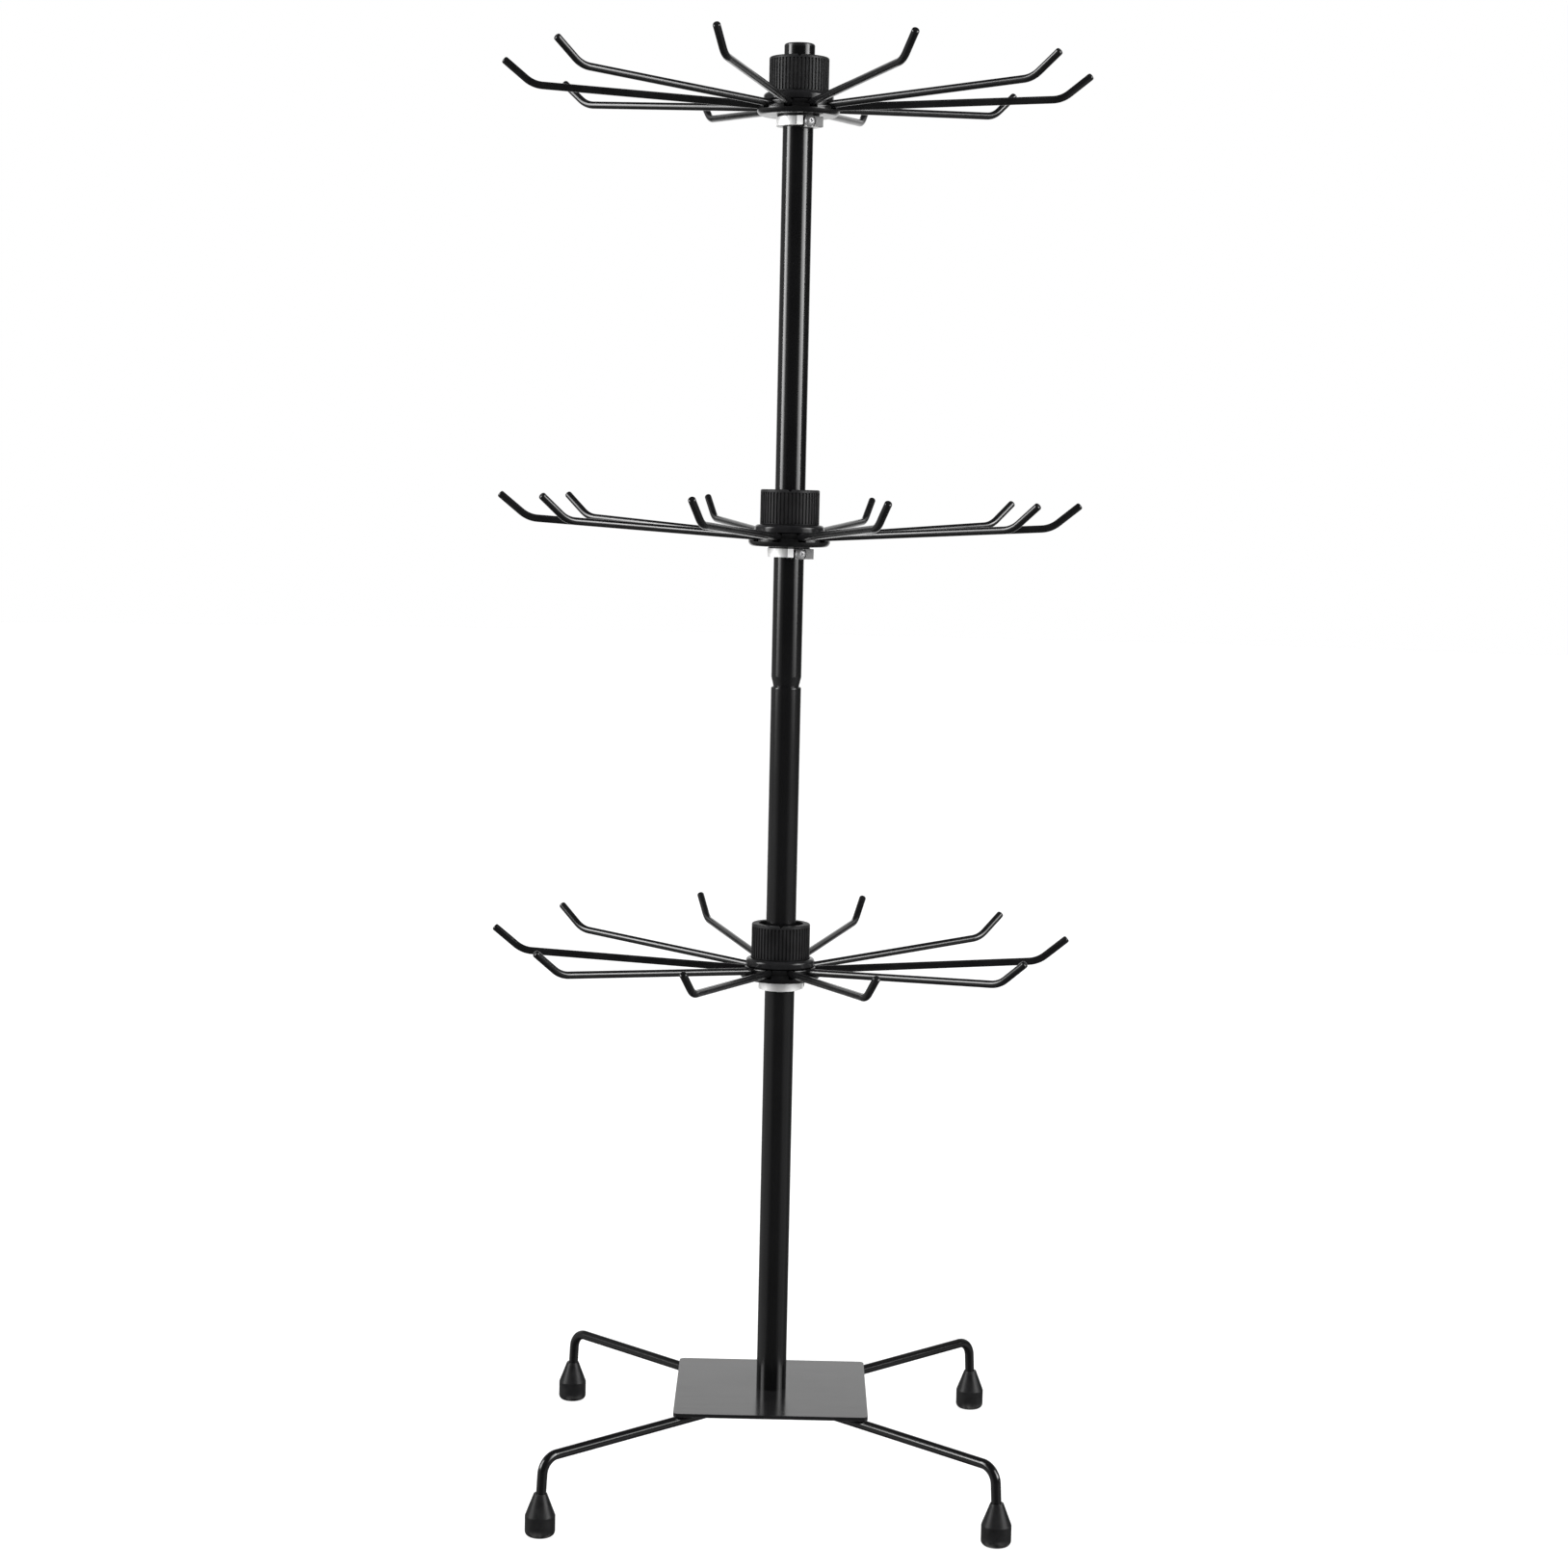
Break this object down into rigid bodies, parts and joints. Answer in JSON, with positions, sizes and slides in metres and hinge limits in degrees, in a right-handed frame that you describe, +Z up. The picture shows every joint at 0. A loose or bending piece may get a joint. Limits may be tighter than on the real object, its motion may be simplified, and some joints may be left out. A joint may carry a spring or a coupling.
{
  "type": "rotating display rack",
  "caption": "Black counter-top display rack: tiers of upturned wire hooks turn on ribbed hubs along a two-piece pole on a square plate with splayed legs and rubber feet.",
  "frame": {"origin": "on the counter, under the pole's axis, at the middle of the four feet", "axes": "+Z up the pole, -Y towards the front, +X to the right seen from the front"},
  "size_m": [0.306, 0.2956, 0.7547],
  "materials": {
    "powder_black": "black powder-coated steel, semi-gloss",
    "wire_black": "black dipped wire, semi-gloss",
    "plastic_black": "moulded black plastic, satin with fine ribs",
    "cap_black": "smooth black plastic plug",
    "rubber_black": "black rubber, matte",
    "collar_metal": "bright machined ring",
    "screw_steel": "plated steel",
    "nylon_black": "black nylon"
  },
  "bodies": {
    "base": {"base_plate": "powder_black", "base_washer": "screw_steel", "base_screw": "screw_steel", "pole_insert": "screw_steel", "pole_lower": "powder_black", "leg_front_left": "powder_black", "leg_front_right": "powder_black", "leg_back_right": "powder_black", "leg_back_left": "powder_black", "foot_front_left": "rubber_black", "foot_front_right": "rubber_black", "foot_back_right": "rubber_black", "foot_back_left": "rubber_black"},
    "mast": {"pole_upper": "powder_black", "pole_cap": "cap_black"},
    "collar_lower": {"stop_collar_lower": "collar_metal", "slip_washer_lower": "nylon_black"},
    "screw_lower": {"collar_screw_lower": "screw_steel"},
    "tier_lower": {"hub_lower": "plastic_black", "hook_lower_01": "wire_black", "hook_lower_02": "wire_black", "hook_lower_03": "wire_black", "hook_lower_04": "wire_black", "hook_lower_05": "wire_black", "hook_lower_06": "wire_black", "hook_lower_07": "wire_black", "hook_lower_08": "wire_black", "hook_lower_09": "wire_black", "hook_lower_10": "wire_black"},
    "nut_lower": {"clamp_nut_lower": "plastic_black"},
    "collar_middle": {"stop_collar_middle": "collar_metal", "slip_washer_middle": "nylon_black"},
    "screw_middle": {"collar_screw_middle": "screw_steel"},
    "tier_middle": {"hub_middle": "plastic_black", "hook_middle_01": "wire_black", "hook_middle_02": "wire_black", "hook_middle_03": "wire_black", "hook_middle_04": "wire_black", "hook_middle_05": "wire_black", "hook_middle_06": "wire_black", "hook_middle_07": "wire_black", "hook_middle_08": "wire_black", "hook_middle_09": "wire_black", "hook_middle_10": "wire_black"},
    "nut_middle": {"clamp_nut_middle": "plastic_black"},
    "collar_top": {"stop_collar_top": "collar_metal", "slip_washer_top": "nylon_black"},
    "screw_top": {"collar_screw_top": "screw_steel"},
    "tier_top": {"hub_top": "plastic_black", "hook_top_01": "wire_black", "hook_top_02": "wire_black", "hook_top_03": "wire_black", "hook_top_04": "wire_black", "hook_top_05": "wire_black", "hook_top_06": "wire_black", "hook_top_07": "wire_black", "hook_top_08": "wire_black", "hook_top_09": "wire_black", "hook_top_10": "wire_black"},
    "nut_top": {"clamp_nut_top": "plastic_black"}
  },
  "joints": [
    {"name": "mast_lift", "type": "slide", "parent": "base", "child": "mast", "axis": [0, 0, 1], "range_m": [0, 0.04]},
    {"name": "lower_height", "type": "slide", "parent": "base", "child": "collar_lower", "axis": [0, 0, 1], "range_m": [-0.12, 0.1]},
    {"name": "lower_collar_screw", "type": "hinge", "parent": "collar_lower", "child": "screw_lower", "pos_m": [0, 0, 0.2635], "axis": [0.866, 0.5, 0], "range_deg": [0, 180]},
    {"name": "lower_spin", "type": "hinge", "parent": "collar_lower", "child": "tier_lower", "pos_m": [0, 0, 0.267], "axis": [0, 0, 1], "continuous": true},
    {"name": "lower_nut_turn", "type": "hinge", "parent": "tier_lower", "child": "nut_lower", "pos_m": [0, 0, 0.2855], "axis": [0, 0, 1], "range_deg": [0, 360]},
    {"name": "middle_height", "type": "slide", "parent": "mast", "child": "collar_middle", "axis": [0, 0, 1], "range_m": [-0.045, 0.08]},
    {"name": "middle_collar_screw", "type": "hinge", "parent": "collar_middle", "child": "screw_middle", "pos_m": [0, 0, 0.4925], "axis": [0.4695, -0.8829, 0], "range_deg": [0, 180]},
    {"name": "middle_spin", "type": "hinge", "parent": "collar_middle", "child": "tier_middle", "pos_m": [0, 0, 0.496], "axis": [0, 0, 1], "continuous": true},
    {"name": "middle_nut_turn", "type": "hinge", "parent": "tier_middle", "child": "nut_middle", "pos_m": [0, 0, 0.5145], "axis": [0, 0, 1], "range_deg": [0, 360]},
    {"name": "top_height", "type": "slide", "parent": "mast", "child": "collar_top", "axis": [0, 0, 1], "range_m": [-0.09, 0]},
    {"name": "top_collar_screw", "type": "hinge", "parent": "collar_top", "child": "screw_top", "pos_m": [0, 0, 0.7145], "axis": [0.4695, -0.8829, 0], "range_deg": [0, 180]},
    {"name": "top_spin", "type": "hinge", "parent": "collar_top", "child": "tier_top", "pos_m": [0, 0, 0.718], "axis": [0, 0, 1], "continuous": true},
    {"name": "top_nut_turn", "type": "hinge", "parent": "tier_top", "child": "nut_top", "pos_m": [0, 0, 0.7365], "axis": [0, 0, 1], "range_deg": [0, 360]}
  ]
}
